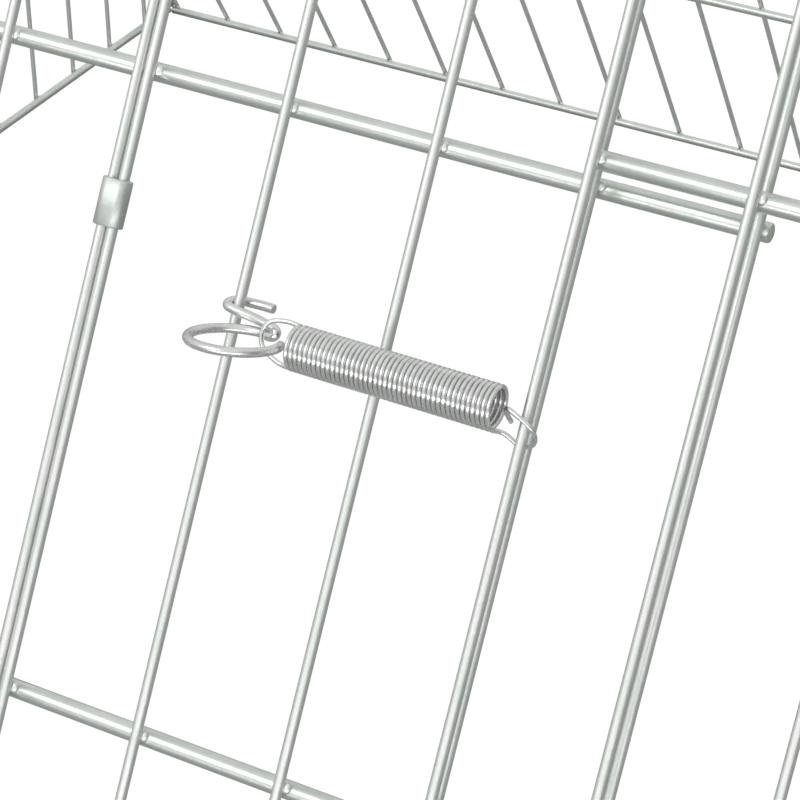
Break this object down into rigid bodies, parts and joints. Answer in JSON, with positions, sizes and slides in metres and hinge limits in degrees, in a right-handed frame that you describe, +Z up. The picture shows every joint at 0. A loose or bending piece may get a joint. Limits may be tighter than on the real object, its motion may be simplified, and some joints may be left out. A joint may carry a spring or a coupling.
{
  "type": "wire rabbit run cage",
  "caption": "Folding triangular wire mesh run for rabbits, with a hinged mesh door held shut by a spring hook latch.",
  "frame": {"origin": "on the ground, at the middle of the run's footprint", "axes": "+X along the run's length, towards the doorway half; +Y from the door side to the back; +Z up"},
  "size_m": [1.1008, 1.0688, 0.922],
  "materials": {
    "bar_zinc": "hot-dip galvanised thick bars, pale grey with a mottled soft sheen",
    "wire_zinc": "hot-dip galvanised thin wires, pale grey, slightly brighter than the bars",
    "clip_sheet": "bent zinc-plated sheet metal",
    "spring_steel": "close-wound zinc-plated spring wire, bright with dark gaps",
    "hook_wire": "smooth zinc-plated wire"
  },
  "bodies": {
    "front_left": {"front_left_bars": "bar_zinc", "front_left_wires": "wire_zinc", "front_fold_clips": "clip_sheet", "ridge_clips_left": "clip_sheet", "end_left_clips": "clip_sheet"},
    "front_right": {"front_right_bars": "bar_zinc", "front_right_wires": "wire_zinc", "ridge_clips_right": "clip_sheet", "end_right_clips": "clip_sheet", "door_hinge_clips": "clip_sheet"},
    "back_left": {"back_left_bars": "bar_zinc", "back_left_wires": "wire_zinc", "back_fold_clips": "clip_sheet"},
    "back_right": {"back_right_bars": "bar_zinc", "back_right_wires": "wire_zinc"},
    "end_left": {"end_left_frame": "bar_zinc", "end_left_bars": "bar_zinc", "end_left_wires": "wire_zinc", "end_left_tongues": "clip_sheet"},
    "end_right": {"end_right_frame": "bar_zinc", "end_right_bars": "bar_zinc", "end_right_wires": "wire_zinc", "end_right_tongues": "clip_sheet"},
    "door": {"door_bars": "bar_zinc", "door_wires": "wire_zinc"},
    "latch": {"latch_spring": "spring_steel"},
    "hook": {"latch_hook": "hook_wire"}
  },
  "joints": [
    {"name": "ridge_left", "type": "hinge", "parent": "front_left", "child": "back_left", "pos_m": [0, 0.00215, 0.91652], "axis": [1, 0, 0], "range_deg": [-56, 0]},
    {"name": "fold", "type": "hinge", "parent": "front_left", "child": "front_right", "pos_m": [0.00135, -0.26866, 0.46071], "axis": [0, 0.5, 0.866], "range_deg": [-135, 0]},
    {"name": "ridge_right", "type": "hinge", "parent": "front_right", "child": "back_right", "pos_m": [0, 0.00215, 0.91652], "axis": [1, 0, 0], "range_deg": [-56, 0]},
    {"name": "end_left_swing", "type": "hinge", "parent": "front_left", "child": "end_left", "pos_m": [-0.5463, -0.26866, 0.46071], "axis": [0, 0.5, 0.866], "range_deg": [0, 90]},
    {"name": "end_right_swing", "type": "hinge", "parent": "front_right", "child": "end_right", "pos_m": [0.5463, -0.26866, 0.46071], "axis": [0, -0.5, -0.866], "range_deg": [0, 90]},
    {"name": "door_swing", "type": "hinge", "parent": "front_right", "child": "door", "pos_m": [0.44065, -0.2742, 0.46391], "axis": [0, 0.5, 0.866], "range_deg": [0, 170]},
    {"name": "latch_swing", "type": "hinge", "parent": "door", "child": "latch", "pos_m": [0.10335, -0.2967, 0.42494], "axis": [0, 0.5, 0.866], "range_deg": [0, 100]},
    {"name": "hook_pull", "type": "slide", "parent": "latch", "child": "hook", "axis": [-1, 0, 0], "range_m": [0, 0.012], "stiffness_N_per_m": 300, "springref_m": -0.01, "deforming": ["latch_spring"]}
  ],
  "couplings": [
    {"joint": "ridge_right", "follows": "ridge_left", "ratio": 1}
  ]
}
